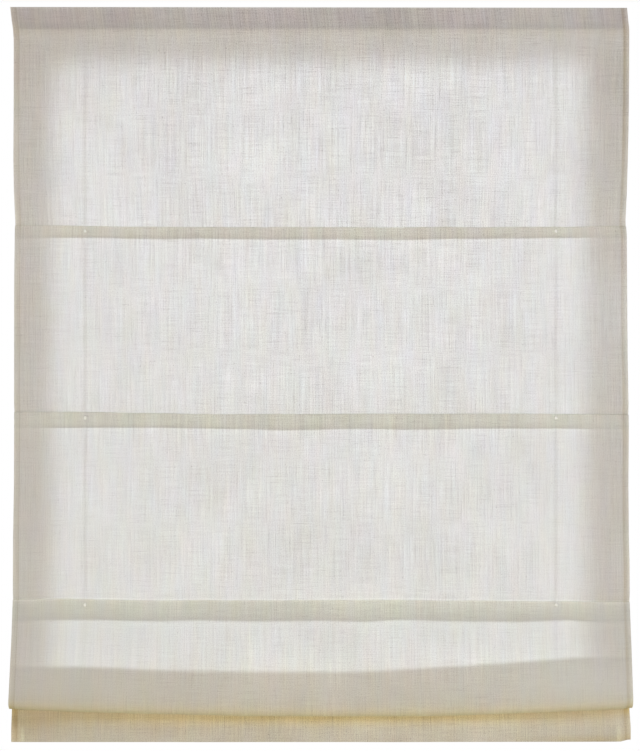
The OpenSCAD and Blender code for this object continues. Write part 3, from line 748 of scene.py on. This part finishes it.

# %% [markdown]
# ## Spots of painted light and shade
# Undyed linen isn't one colour: it is warmer here and greener there. The soft round spots below are
# painted light and shade: lighter where more light falls, and darker, greyer or straw-coloured where shade
# falls in corners, in the loop of the pleat and in the hollow above the hem. Each has its place across and
# along the cloth, its half widths, and its weights in red, green and blue. Deep spots change both the light
# that is sent back and the light that is let through, and face spots only the light that is sent back.

# %% Linen: spots
# painted light and shade in both the light sent back and the light let through
DEEP_PAINTED_LIGHT_AND_SHADE = [
    (-0.46, 0.10, 0.10, 0.09, (-0.06, -0.08, -0.10)),
    (0.47, along_at_seam[1] - 0.16, 0.05, 0.10, (0.06, 0.09, 0.12)),
    (0.475, 0.13, 0.04, 0.07, (-0.11, -0.12, -0.13)),
]
# painted light and shade in the light sent back only, with a painted highlight on the top of the pleat
FACE_PAINTED_LIGHT_AND_SHADE = [
    (-0.20, 0.045, 0.12, 0.020, (-0.06, -0.07, -0.07)),
    (0.42, 0.045, 0.10, 0.020, (0.04, 0.06, 0.05)),
    (0.45, loop_run - 0.060, 0.12, 0.035, (0.10, 0.13, 0.15)),
    (-0.50, loop_run - 0.006, 0.18, 0.024, (-0.10, -0.12, -0.15)),
    (0.0, loop_run - 0.070, 0.24, 0.022, (0.10, 0.07, 0.05)),
    (0.43, loop_run - 0.004, 0.09, 0.016, (-0.06, -0.09, -0.09)),
    (0.29, fold_run + 0.008, 0.11, 0.009, (0.12, 0.12, 0.13)),
    (-0.24, hem_run - 0.026, 0.09, 0.014, (-0.06, -0.11, -0.15)),
    (-0.50, hem_run - 0.040, 0.22, 0.015, (-0.25, -0.31, -0.40)),
    (0.40, hem_run - 0.041, 0.08, 0.013, (-0.13, -0.16, -0.18)),
    (-0.48, hem_run - 0.024, 0.08, 0.026, (-0.11, -0.17, -0.24)),
    (0.44, hem_run - 0.005, 0.09, 0.007, (-0.08, -0.15, -0.30)),
    (0.25, hem_run - 0.020, 0.10, 0.016, (0.04, 0.05, 0.05)),
]


def soft_spot(tree, vector, centre, widths):
    mapping = tree.nodes.new("ShaderNodeMapping")
    mapping.inputs["Scale"].default_value = (1 / widths[0], 1 / widths[1], 0)
    mapping.inputs["Location"].default_value = (-centre[0] / widths[0], -centre[1] / widths[1], 0)
    tree.links.new(vector, mapping.inputs["Vector"])
    square = tree.nodes.new("ShaderNodeVectorMath")
    square.operation = "DOT_PRODUCT"
    tree.links.new(mapping.outputs["Vector"], square.inputs[0])
    tree.links.new(mapping.outputs["Vector"], square.inputs[1])
    return arithmetic(tree, "POWER", 1 / math.e, square.outputs["Value"])


def spot_tints(spots):
    tints = []
    for across_at, along_at, half_w, half_h, weights in spots:
        mask = soft_spot(tree, uv_node.outputs["UV"], (across_at, along_at), (half_w, half_h))
        tints.append((mask, weights))
    return tints


print("soft spots:", len(DEEP_PAINTED_LIGHT_AND_SHADE) + len(FACE_PAINTED_LIGHT_AND_SHADE))

# %% [markdown]
# ## Tints
# A tint starts at 1 and adds a small weight in red, green and blue for each mask. Most masks follow the
# distance along the cloth, so a band of colour stays on its seam or fold. Most of these bands are painted
# light and shade: a painted highlight on the ridge over the last pocket and on the top of the pleat,
# painted light on the pockets, a painted shade on the cloth over the headrail and just under it, a painted
# straw-coloured shade in the loop of the pleat and in the hollow above the hem, and painted warm light on
# the hem. The tints of the folds are multiplied with the others, so a spot in a fold stays in proportion.

# %% Linen: tints
RIDGE_UP, RIDGE_W = 6.7 * MM, 1.4 * MM
HEM_SAG = 12 * MM
MIDDLE_RUN, MIDDLE_REACH = 0.48, 0.18
# Where the painted light behind a pocket lies and how far it reaches, in depths of the pocket
POCKET_RUN, POCKET_REACH = 2.5, 0.6


def tint_of(tree, masks, start=(1, 1, 1)):
    for mask, weights in masks:
        start = weighted(tree, mask, weights, start)
    return start


across_squared = arithmetic(tree, "MULTIPLY", across_cloth, across_cloth)
sagging = arithmetic(tree, "MULTIPLY", across_squared, HEM_SAG / HALF_W ** 2)
along_hem = arithmetic(tree, "ADD", along_cloth, sagging)
# painted highlight on the ridge over the last pocket
painted_ridge_highlight = bell(tree, along_cloth, along_at_seam[2] - RIDGE_UP, RIDGE_W)
both_tints = [
    (weave_node.outputs["Warmth"], (0.047, 0.0, -0.075)),
    (weave_node.outputs["Greenness"], (-0.028, 0.028, -0.05)),
    (hem_shade, (-0.09, -0.12, -0.18)),
    (painted_edge_highlight, (0.07, 0.07, 0.06)),
    (painted_ridge_highlight, (0.15, 0.15, 0.15)),
]
# painted light on the second and third pockets, a little past their rods
painted_pocket_light = []
for run, depth in zip(along_at_seam[1:], DEPTHS[1:]):
    painted_pocket_light_mask = bell(tree, along_cloth, run + POCKET_RUN * depth, POCKET_REACH * depth)
    painted_pocket_light.append((painted_pocket_light_mask, (0.04, 0.07, 0.06)))
# painted light and shade in the folds: shade over and under the headrail, straw-coloured shade in the loop
# and the hollow above the hem, warm light on the hem, highlights on the top of the pleat
painted_fold_light_and_shade = [
    (bell(tree, along_cloth, 40 * MM, 16 * MM), (0.0, -0.03, -0.01)),
    (bell(tree, along_cloth, 64 * MM, 12 * MM), (-0.03, -0.06, -0.11)),
    (bell(tree, along_cloth, loop_run, 22 * MM), (0.0, -0.12, -0.47)),
    (bell(tree, along_hem, hem_run - 42 * MM, 12 * MM), (-0.09, -0.26, -0.56)),
    (bell(tree, along_cloth, hem_run - 20 * MM, 40 * MM), (0.14, 0.08, -0.10)),
    (bell(tree, along_cloth, fold_run, 2.2 * MM), (0.22, 0.23, 0.24)),
    (bell(tree, along_cloth, fold_run, 9 * MM), (0.09, 0.09, 0.09)),
]
# the light let through is painted a little darker towards the bottom and a little lighter around the middle
# of the length
through_tints = [
    (stitch, (-0.14, -0.16, -0.20)),
    (along_cloth, (-0.105, -0.081, -0.109)),
    (bell(tree, along_cloth, MIDDLE_RUN, MIDDLE_REACH), (0.03, 0.03, 0.035)),
]
both_tint = tint_of(tree, both_tints + spot_tints(DEEP_PAINTED_LIGHT_AND_SHADE))
back_tints = spot_tints(FACE_PAINTED_LIGHT_AND_SHADE) + painted_pocket_light + [(stitch, (-0.10, -0.12, -0.16))]
back_tint = product(tree, tint_of(tree, back_tints, both_tint), tint_of(tree, painted_fold_light_and_shade))
through_tint = tint_of(tree, through_tints, both_tint)
print("tints of the linen:", len(both_tints + back_tints + painted_fold_light_and_shade + through_tints) + len(DEEP_PAINTED_LIGHT_AND_SHADE))

# %% [markdown]
# ## The cloth's material
# Thin cloth sends back about half of the light that meets it and lets most of the rest through, spread
# out. A Principled shader gives the first part and a Translucent shader the second, and a Mix shader
# shares the light between them. Layers then darken by themselves where pockets and folds overlap, and
# light that has passed several layers turns the colour of straw. A thick place in the yarn is darker and
# browner, both by the light it sends back and by the light it lets through. A gap sends back less and
# lets more through.

# %% Linen: shaders
BACK_COLOUR = (0.840, 0.770, 0.730)
THROUGH_COLOUR = (0.955, 0.968, 0.850)
BACK_BROWNING, THROUGH_BROWNING = (0.36, 0.39, 0.46), (1.00, 1.05, 1.12)
GAP_EFFECT = 0.30
THROUGH_SHARE = 0.52


def yarn_colour(tree, colour, yarn, browning, gap, opening):
    by_yarn = weighted(tree, yarn, [-c * b for c, b in zip(colour, browning)], colour)
    return product(tree, by_yarn, weighted(tree, gap, (opening,) * 3, (1, 1, 1)))


bump = tree.nodes.new("ShaderNodeBump")
bump.inputs["Strength"].default_value = 0.35
bump.inputs["Distance"].default_value = 0.4 * MM
tree.links.new(weave_node.outputs["Height"], bump.inputs["Height"])
yarn, gap = weave_node.outputs["Yarn"], weave_node.outputs["Gap"]

reflect = tree.nodes.new("ShaderNodeBsdfPrincipled")
reflect.inputs["Roughness"].default_value = 0.95
reflect.inputs["Specular IOR Level"].default_value = 0.15
back = yarn_colour(tree, BACK_COLOUR, yarn, BACK_BROWNING, gap, -GAP_EFFECT)
tree.links.new(product(tree, back, back_tint), reflect.inputs["Base Color"])
tree.links.new(bump.outputs["Normal"], reflect.inputs["Normal"])

through = tree.nodes.new("ShaderNodeBsdfTranslucent")
forward = yarn_colour(tree, THROUGH_COLOUR, yarn, THROUGH_BROWNING, gap, GAP_EFFECT)
tree.links.new(product(tree, forward, through_tint), through.inputs["Color"])

mix = tree.nodes.new("ShaderNodeMixShader")
mix.inputs["Fac"].default_value = THROUGH_SHARE
tree.links.new(reflect.outputs["BSDF"], mix.inputs[1])
tree.links.new(through.outputs["BSDF"], mix.inputs[2])
output = tree.nodes.new("ShaderNodeOutputMaterial")
tree.links.new(mix.outputs["Shader"], output.inputs["Surface"])
for obj in cloth.values():
    obj.data.materials.append(linen)
print("linen nodes:", len(tree.nodes))

# %% [markdown]
# ## Surface of the hard pieces
# No real surface is one even colour. Drawn aluminium has fine lines along its length, plating has small
# flecks, moulded plastic a faint grain, and a glass-fibre rod shows its fibres. All of these are noise,
# often finer in one direction than in another, so one group serves them all: it is told how fine to be
# along each axis and how strong, and gives back a tone and a height.

# %% Node group for grain
grain_group, grain_in, grain_out = new_group(
    "Surface grain",
    [("NodeSocketVector", "Place"), ("NodeSocketVector", "Fineness"), ("NodeSocketFloat", "Amount")],
    [("NodeSocketFloat", "Tone"), ("NodeSocketFloat", "Height")],
)
fine_noise = grain_group.nodes.new("ShaderNodeTexNoise")
fine_noise.inputs["Scale"].default_value = 1
fine_noise.inputs["Detail"].default_value = 3
fine_place = product(grain_group, grain_in.outputs["Place"], grain_in.outputs["Fineness"])
grain_group.links.new(fine_place, fine_noise.inputs["Vector"])
level = arithmetic(grain_group, "SUBTRACT", fine_noise.outputs["Fac"], 0.5)
grain_strength = arithmetic(grain_group, "MULTIPLY", level, grain_in.outputs["Amount"])
grain_group.links.new(arithmetic(grain_group, "ADD", grain_strength, 1.0), grain_out.inputs["Tone"])
grain_group.links.new(grain_strength, grain_out.inputs["Height"])

print("grain group nodes:", len(grain_group.nodes))

# %% [markdown]
# ## Braid
# A braided cord needs its own pattern. Its strands cross on two slants, so two slanted waves are
# multiplied: where the product is high, a strand lies on top. The sockets are those of the grain, so a
# finish can use either.

# %% Node group for the braid
STRAND = 1.1 * MM
BRAID_SLANT = 0.7
braid_group, braid_in, braid_out = new_group(
    "Braid",
    [("NodeSocketVector", "Place"), ("NodeSocketVector", "Fineness"), ("NodeSocketFloat", "Amount")],
    [("NodeSocketFloat", "Tone"), ("NodeSocketFloat", "Height")],
)
braid_split = braid_group.nodes.new("ShaderNodeSeparateXYZ")
braid_group.links.new(braid_in.outputs["Place"], braid_split.inputs["Vector"])
around = arithmetic(braid_group, "ADD", braid_split.outputs["X"], braid_split.outputs["Y"])
waves = []
for slant in (BRAID_SLANT, -BRAID_SLANT):
    rise = arithmetic(braid_group, "MULTIPLY", braid_split.outputs["Z"], slant)
    slanted = arithmetic(braid_group, "ADD", around, rise)
    turn = arithmetic(braid_group, "MULTIPLY", slanted, 2 * math.pi / STRAND)
    waves.append(arithmetic(braid_group, "SINE", turn))
strands = arithmetic(braid_group, "MULTIPLY", waves[0], waves[1])
strand_strength = arithmetic(braid_group, "MULTIPLY", strands, braid_in.outputs["Amount"])
braid_group.links.new(arithmetic(braid_group, "ADD", strand_strength, 1.0), braid_out.inputs["Tone"])
braid_group.links.new(strand_strength, braid_out.inputs["Height"])
print("groups:", [g.name for g in bpy.data.node_groups])

# %% [markdown]
# ## Finishes
# The headrail, rods, spools, rings and brackets keep their engineering shapes. One function makes a
# finish from a colour, a roughness, how metallic it is, and how fine, strong and deep its grain is. A
# darker spot is also a little rougher, as it is on a real surface.

# %% Finish maker
GRAIN_DEPTH, GRAIN_BUMP = 0.05 * MM, 0.3


def finish_of(name, colour, roughness, metallic, fineness, amount, depth=GRAIN_DEPTH, group=grain_group):
    material = bpy.data.materials.new(name)
    material.use_nodes = True
    tree = material.node_tree
    shader = tree.nodes["Principled BSDF"]
    shader.inputs["Metallic"].default_value = metallic
    place = tree.nodes.new("ShaderNodeTexCoord")
    surface = tree.nodes.new("ShaderNodeGroup")
    surface.node_tree = group
    surface.inputs["Fineness"].default_value = fineness
    surface.inputs["Amount"].default_value = amount
    tree.links.new(place.outputs["Object"], surface.inputs["Place"])
    tone = surface.outputs["Tone"]
    tree.links.new(weighted(tree, tone, colour, (0, 0, 0)), shader.inputs["Base Color"])
    rougher = arithmetic(tree, "MULTIPLY", arithmetic(tree, "SUBTRACT", 2.0, tone), roughness, clamp=True)
    tree.links.new(rougher, shader.inputs["Roughness"])
    bump = tree.nodes.new("ShaderNodeBump")
    bump.inputs["Strength"].default_value = GRAIN_BUMP
    bump.inputs["Distance"].default_value = depth
    tree.links.new(surface.outputs["Height"], bump.inputs["Height"])
    tree.links.new(bump.outputs["Normal"], shader.inputs["Normal"])
    return material


print("a grain is", round(GRAIN_DEPTH / MM, 2), "mm deep where nothing else is said")

# %% [markdown]
# ## A finish for each piece
# Every piece of the model says what it is made of, and gets the finish of that name. Drawn metal and rods
# have their grain along X, and a spring band along its length. Two kinds of piece differ from what the
# model says: the grip tape on the headrail is grey and rough, and the buttons on the face are cream.

# %% Finishes of the hard pieces
ALONG_X, EVEN = (14, 2200, 2200), (700, 700, 700)
ROUND_BAND, ROUGH = (1800, 1800, 40), (1500, 1500, 1500)
CORD_DEPTH, TAPE_DEPTH = 0.2 * MM, 0.3 * MM
finishes = {
    "aluminium": finish_of("Drawn aluminium", (0.60, 0.61, 0.62), 0.42, 1.0, ALONG_X, 0.5),
    "steel": finish_of("Zinc plated steel", (0.50, 0.51, 0.53), 0.36, 1.0, EVEN, 0.5),
    "spring_steel": finish_of("Spring steel", (0.40, 0.41, 0.43), 0.32, 1.0, ROUND_BAND, 0.5),
    "white_plastic": finish_of("White plastic", (0.86, 0.85, 0.82), 0.38, 0.0, EVEN, 0.10),
    "grey_plastic": finish_of("Grey plastic", (0.66, 0.66, 0.65), 0.50, 0.0, EVEN, 0.16),
    "glass_fibre": finish_of("Glass fibre", (0.80, 0.78, 0.70), 0.45, 0.0, ALONG_X, 0.35),
    "cord_white": finish_of(
        "Braided cord", (0.90, 0.88, 0.83), 0.85, 0.0, EVEN, 0.22, CORD_DEPTH, braid_group
    ),
    "button_cream": finish_of("Cream plastic", (0.76, 0.74, 0.62), 0.40, 0.0, EVEN, 0.12),
    "grip_tape": finish_of("Grip tape", (0.42, 0.41, 0.39), 0.95, 0.0, ROUGH, 0.9, TAPE_DEPTH),
}
slot_of = {s["node"]: s["material_slot"] for s in frame["record"]["subparts"]}
for name in ("hook_tape", "loop_tape"):
    slot_of[name] = "grip_tape"
for i in range(3):
    slot_of[f"buttons_{i + 1}"] = "button_cream"
for name, obj in nodes.items():
    if slot_of[name] in finishes:
        obj.data.materials.clear()
        obj.data.materials.append(finishes[slot_of[name]])
for obj in cords:
    obj.data.materials.append(finishes["cord_white"])
print("finishes:", len(finishes))

# %% [markdown]
# ## Light
# Behind the blind a window sends daylight through the cloth. It is a rectangle of light a little smaller
# than the cloth and close behind it, which gives the bright middle and the soft darker border. A faint
# warm light round the window, from its reveal, reaches the whole cloth. In front, two broad soft lamps
# fill the room, the right one a little stronger, and a warm one lights the pleat from the floor. Each
# lamp is given the brightness of its surface, so that a larger one also sends more light.

# %% Lamps
MIDDLE_Z = (cloth_low.z + cloth_high.z) / 2
FACE_MIDDLE, PLEAT_FACE = (0, FACE_Y, MIDDLE_Z), (0, FACE_Y, -1.1)
WINDOW_X, WINDOW_Y, WINDOW_W = -0.0032, 0.06, 0.870
WINDOW_LOW, WINDOW_HIGH = -1.075, -0.070
REVEAL_Y, REVEAL_Z, REVEAL_W, REVEAL_H = 0.05, -0.6, 1.06, 1.19
ROOM_LAMP = 2.0
DAYLIGHT, REVEAL_WHITE, FLOOR_WARM = (0.61, 0.67, 0.885), (1.0, 0.91, 0.82), (1.0, 0.84, 0.54)
ROOM_LEFT, ROOM_RIGHT = (0.77, 0.785, 0.90), (0.755, 0.795, 0.96)


def area_lamp(name, place, aim, size, brightness, colour, spread=180):
    data = bpy.data.lights.new(name, "AREA")
    data.shape = "RECTANGLE"
    data.size, data.size_y = size
    data.energy = math.pi * size[0] * size[1] * brightness
    data.color = colour
    data.spread = math.radians(spread)
    lamp = bpy.data.objects.new(name, data)
    bpy.context.scene.collection.objects.link(lamp)
    lamp.location = place
    lamp.rotation_euler = (Vector(aim) - Vector(place)).to_track_quat("-Z", "Y").to_euler()
    lamp.visible_camera = False


window_z = (WINDOW_LOW + WINDOW_HIGH) / 2
window_size = (WINDOW_W, WINDOW_HIGH - WINDOW_LOW)
window_aim = (WINDOW_X, -1, window_z)
area_lamp("Window", (WINDOW_X, WINDOW_Y, window_z), window_aim, window_size, 0.655, DAYLIGHT, 38)
reveal_aim = (0, -1, REVEAL_Z)
area_lamp("Reveal", (0, REVEAL_Y, REVEAL_Z), reveal_aim, (REVEAL_W, REVEAL_H), 0.14, REVEAL_WHITE, 30)
area_lamp("Key", (-1.3, -2.5, -0.3), FACE_MIDDLE, (ROOM_LAMP, ROOM_LAMP), 2.62, ROOM_LEFT)
area_lamp("Fill", (1.3, -2.5, -0.7), FACE_MIDDLE, (ROOM_LAMP, ROOM_LAMP), 3.50, ROOM_RIGHT)
area_lamp("Floor", (0, -0.9, -2.0), PLEAT_FACE, (1.8, 0.8), 1.15, FLOOR_WARM)
print("lamps:", len(bpy.data.lights))

# %% [markdown]
# ## Background
# The background is plain white where the camera sees it, and where a mirror-like surface does. The cloth
# only gets a soft warm share of it, so the white doesn't wash out the weave.

# %% World
WORLD_COLOUR, WORLD_STRENGTH = (1.0, 0.95, 0.80, 1), 0.26
world = bpy.data.worlds.new("Studio")
bpy.context.scene.world = world
world.use_nodes = True
sky = world.node_tree
sky.nodes.clear()
soft = sky.nodes.new("ShaderNodeBackground")
soft.inputs["Color"].default_value = WORLD_COLOUR
soft.inputs["Strength"].default_value = WORLD_STRENGTH
white = sky.nodes.new("ShaderNodeBackground")
white.inputs["Color"].default_value = (1, 1, 1, 1)
seen = sky.nodes.new("ShaderNodeLightPath")
sky_mix = sky.nodes.new("ShaderNodeMixShader")
direct = arithmetic(sky, "LESS_THAN", seen.outputs["Diffuse Depth"], 0.5)
glossy = arithmetic(sky, "MULTIPLY", seen.outputs["Is Glossy Ray"], direct)
mirrored = arithmetic(sky, "MAXIMUM", seen.outputs["Is Camera Ray"], glossy)
sky.links.new(mirrored, sky_mix.inputs["Fac"])
sky.links.new(soft.outputs["Background"], sky_mix.inputs[1])
sky.links.new(white.outputs["Background"], sky_mix.inputs[2])
sky_out = sky.nodes.new("ShaderNodeOutputWorld")
sky.links.new(sky_mix.outputs["Shader"], sky_out.inputs["Surface"])
bpy.context.scene.view_settings.view_transform = "Standard"
print("world nodes:", len(sky.nodes))
